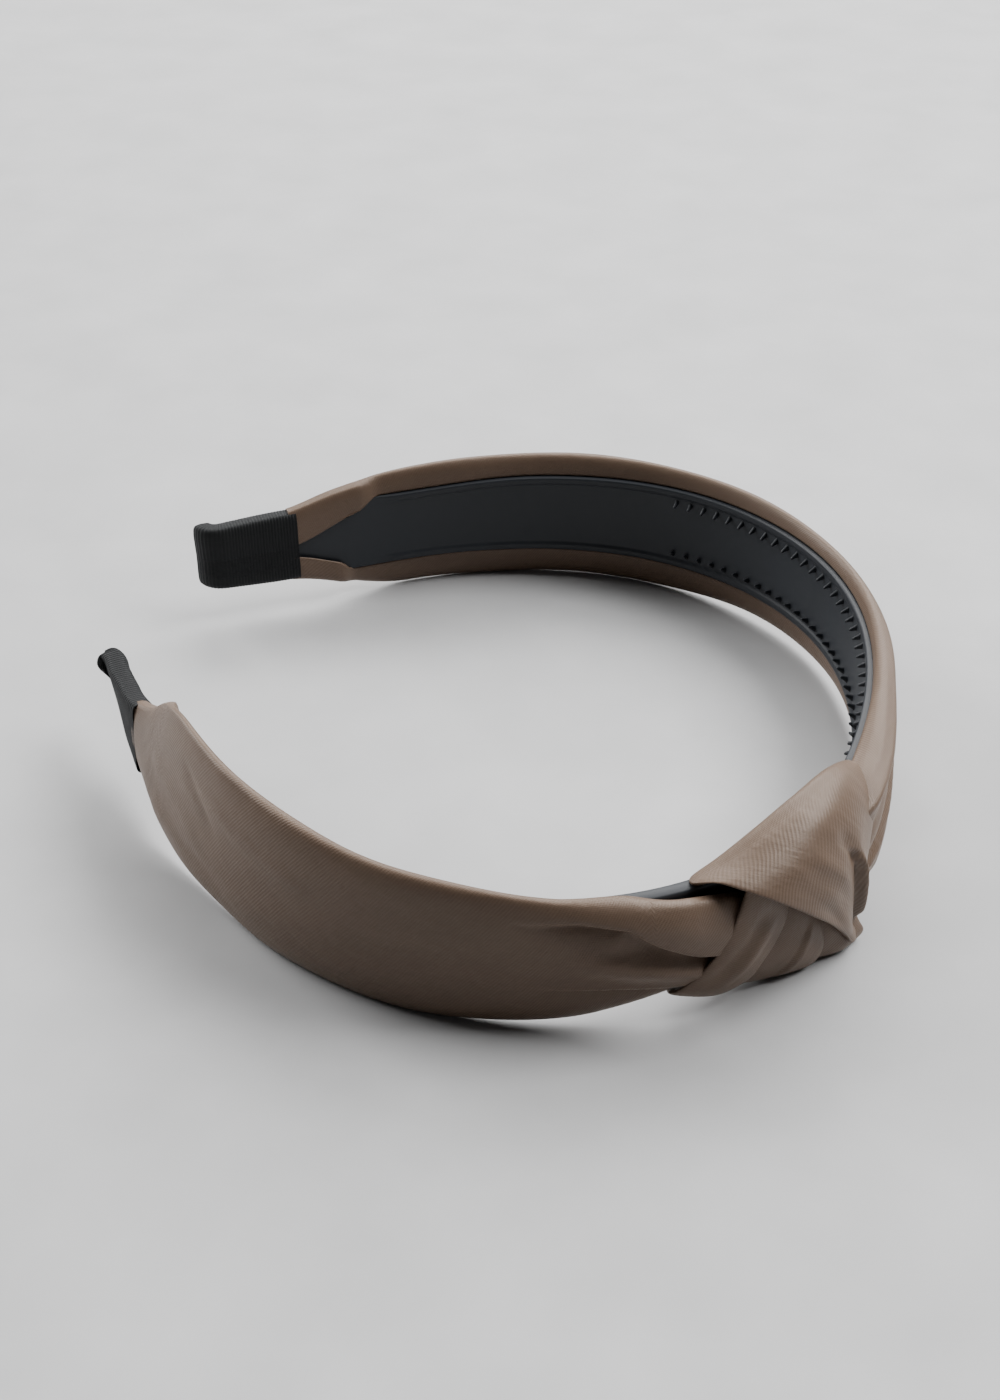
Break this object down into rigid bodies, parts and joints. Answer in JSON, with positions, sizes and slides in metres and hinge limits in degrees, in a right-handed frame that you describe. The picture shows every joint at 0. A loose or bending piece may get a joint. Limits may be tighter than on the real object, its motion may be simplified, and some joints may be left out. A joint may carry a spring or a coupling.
{
  "type": "knotted headband",
  "caption": "Padded satin headband over a toothed plastic hoop, with a soft knot beside the crown and ribbon-wrapped tips that spring apart.",
  "frame": {"origin": "middle of the footprint, on the surface that the headband lies on", "axes": "+X towards the crown, the left arm on the -Y side and the right arm on the +Y side, +Z along the band's width, up from the surface"},
  "size_m": [0.1556, 0.1504, 0.0324],
  "materials": {
    "satin": "taupe satin, fine twill with a soft sheen",
    "hoop_plastic": "moulded, semi-matt, charcoal",
    "ribbon": "black ribbed ribbon",
    "wadding": "soft white wadding",
    "thread": "matching sewing thread"
  },
  "bodies": {
    "crown": {"hoop_crown": "hoop_plastic", "padding_left_crown": "wadding", "padding_right_crown": "wadding", "cover_left_crown": "satin", "cover_right_crown": "satin", "knot_right_strand": "satin", "knot_left_strand": "satin", "knot_stitches": "thread"},
    "left_arm": {"hoop_left_arm": "hoop_plastic", "padding_left_arm": "wadding", "cover_left_arm": "satin", "ribbon_left": "ribbon"},
    "right_arm": {"hoop_right_arm": "hoop_plastic", "padding_right_arm": "wadding", "cover_right_arm": "satin", "ribbon_right": "ribbon"}
  },
  "joints": [
    {"name": "left_arm_flex", "type": "hinge", "parent": "crown", "child": "left_arm", "pos_m": [0.01803, -0.07009, 0.015], "axis": [0, 0, 1], "range_deg": [-6, 18], "stiffness_Nm_per_rad": 0.8},
    {"name": "right_arm_flex", "type": "hinge", "parent": "crown", "child": "right_arm", "pos_m": [0.03186, 0.06531, 0.015], "axis": [0, 0, -1], "range_deg": [-6, 18], "stiffness_Nm_per_rad": 0.8}
  ]
}
